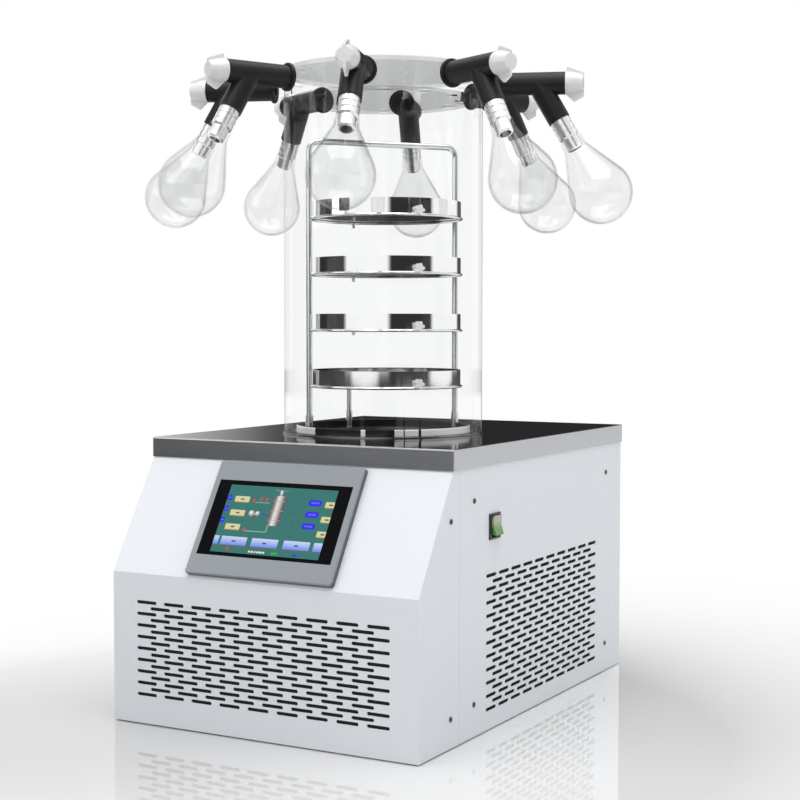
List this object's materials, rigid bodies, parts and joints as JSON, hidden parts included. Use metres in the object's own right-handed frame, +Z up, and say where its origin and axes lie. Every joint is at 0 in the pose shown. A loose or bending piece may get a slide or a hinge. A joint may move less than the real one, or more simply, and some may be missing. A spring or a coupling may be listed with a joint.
{
  "type": "freeze dryer",
  "caption": "Bench freeze dryer: cold trap cabinet with sloping touch display, clear drying chamber, stacked trays and a ring of flask valves with round flasks.",
  "frame": {"origin": "on the floor under the middle of the cabinet, at the level of the feet's undersides", "axes": "+Z up along the drying chamber, -Y out of the front with the display, +X to the right along the front, towards the power switch"},
  "size_m": [0.6352, 0.6592, 0.845],
  "materials": {
    "panel_white": "powder coat, satin",
    "deck_black": "gloss enamel",
    "galvanised": "plain sheet",
    "rubber_black": "moulded",
    "screw_steel": "plated",
    "bezel_grey": "moulded, satin",
    "display_glass": "clear",
    "display_panel": "printed screen",
    "switch_black": "moulded",
    "rocker_green": "translucent",
    "board_green": "printed circuit",
    "trap_steel": "polished inside",
    "copper": "bare tube",
    "foam": "closed-cell foam",
    "compressor_black": "gloss",
    "fin_aluminium": "plain",
    "fan_black": "moulded",
    "motor_steel": "satin",
    "valve_brass": "plated",
    "lever_red": "dipped",
    "gasket_black": "moulded",
    "acrylic": "clear cast",
    "rack_steel": "polished rod",
    "tray_steel": "polished sheet",
    "valve_black": "moulded, satin",
    "adapter_chrome": "polished",
    "knob_white": "moulded",
    "flask_glass": "clear borosilicate"
  },
  "bodies": {
    "freeze_dryer": {"base_pan": "galvanised", "rubber_feet": "rubber_black", "front_shell": "panel_white", "side_panel_left": "panel_white", "side_panel_right": "panel_white", "rear_panel": "panel_white", "inner_frame": "galvanised", "panel_screws": "screw_steel", "worktop": "deck_black", "display_bezel": "bezel_grey", "display_glass": "display_glass", "display_module": "display_panel", "switch_body": "switch_black", "power_inlet": "switch_black", "control_board": "board_green", "trap_vessel": "trap_steel", "trap_collar": "gasket_black", "evaporator_coil": "copper", "trap_insulation": "foam", "compressor": "compressor_black", "compressor_grommets": "rubber_black", "condenser": "fin_aluminium", "fan_shroud": "galvanised", "fan_motor": "motor_steel", "refrigerant_lines": "copper", "vacuum_port": "trap_steel", "drain_valve": "valve_brass", "chamber_gasket": "gasket_black", "chamber_cylinder": "acrylic", "port_stubs": "acrylic", "head_plate": "acrylic", "baffle_plate": "acrylic", "rack_frame": "rack_steel", "tray_rings": "rack_steel", "tray_pulls": "rack_steel", "tray_1": "tray_steel", "tray_2": "tray_steel", "tray_3": "tray_steel", "tray_4": "tray_steel", "valve_bodies": "valve_black", "flask_adapters": "adapter_chrome", "flask_1": "flask_glass", "flask_2": "flask_glass", "flask_3": "flask_glass", "flask_4": "flask_glass", "flask_5": "flask_glass", "flask_6": "flask_glass", "flask_7": "flask_glass", "flask_8": "flask_glass"},
    "power_rocker": {"switch_rocker": "rocker_green"},
    "fan_rotor": {"fan_rotor": "fan_black"},
    "drain_lever": {"drain_lever": "lever_red"},
    "valve_knob_1": {"knob_1": "knob_white"},
    "valve_knob_2": {"knob_2": "knob_white"},
    "valve_knob_3": {"knob_3": "knob_white"},
    "valve_knob_4": {"knob_4": "knob_white"},
    "valve_knob_5": {"knob_5": "knob_white"},
    "valve_knob_6": {"knob_6": "knob_white"},
    "valve_knob_7": {"knob_7": "knob_white"},
    "valve_knob_8": {"knob_8": "knob_white"}
  },
  "joints": [
    {"name": "power_rocker_tilt", "type": "hinge", "parent": "freeze_dryer", "child": "power_rocker", "pos_m": [0.219, -0.117, 0.254], "axis": [0, 1, 0], "range_deg": [0, 16]},
    {"name": "fan_spin", "type": "hinge", "parent": "freeze_dryer", "child": "fan_rotor", "pos_m": [0.149, 0.145, 0.11], "axis": [1, 0, 0], "continuous": true},
    {"name": "drain_lever_turn", "type": "hinge", "parent": "freeze_dryer", "child": "drain_lever", "pos_m": [-0.236, -0.0086, 0.0853], "axis": [0, 0, 1], "range_deg": [0, 90]},
    {"name": "valve_knob_1_turn", "type": "hinge", "parent": "freeze_dryer", "child": "valve_knob_1", "pos_m": [0.24211, 0.07761, 0.8235], "axis": [0.9421, 0.3355, 0], "range_deg": [0, 180]},
    {"name": "valve_knob_2_turn", "type": "hinge", "parent": "freeze_dryer", "child": "valve_knob_2", "pos_m": [0.11024, 0.22356, 0.8235], "axis": [0.4289, 0.9033, 0], "range_deg": [0, 180]},
    {"name": "valve_knob_3_turn", "type": "hinge", "parent": "freeze_dryer", "child": "valve_knob_3", "pos_m": [-0.08621, 0.23351, 0.8235], "axis": [-0.3355, 0.9421, 0], "range_deg": [0, 180]},
    {"name": "valve_knob_4_turn", "type": "hinge", "parent": "freeze_dryer", "child": "valve_knob_4", "pos_m": [-0.23216, 0.10164, 0.8235], "axis": [-0.9033, 0.4289, 0], "range_deg": [0, 180]},
    {"name": "valve_knob_5_turn", "type": "hinge", "parent": "freeze_dryer", "child": "valve_knob_5", "pos_m": [-0.24211, -0.09481, 0.8235], "axis": [-0.9421, -0.3355, 0], "range_deg": [0, 180]},
    {"name": "valve_knob_6_turn", "type": "hinge", "parent": "freeze_dryer", "child": "valve_knob_6", "pos_m": [-0.11024, -0.24076, 0.8235], "axis": [-0.4289, -0.9033, 0], "range_deg": [0, 180]},
    {"name": "valve_knob_7_turn", "type": "hinge", "parent": "freeze_dryer", "child": "valve_knob_7", "pos_m": [0.08621, -0.25071, 0.8235], "axis": [0.3355, -0.9421, 0], "range_deg": [0, 180]},
    {"name": "valve_knob_8_turn", "type": "hinge", "parent": "freeze_dryer", "child": "valve_knob_8", "pos_m": [0.23216, -0.11884, 0.8235], "axis": [0.9033, -0.4289, 0], "range_deg": [0, 180]}
  ]
}
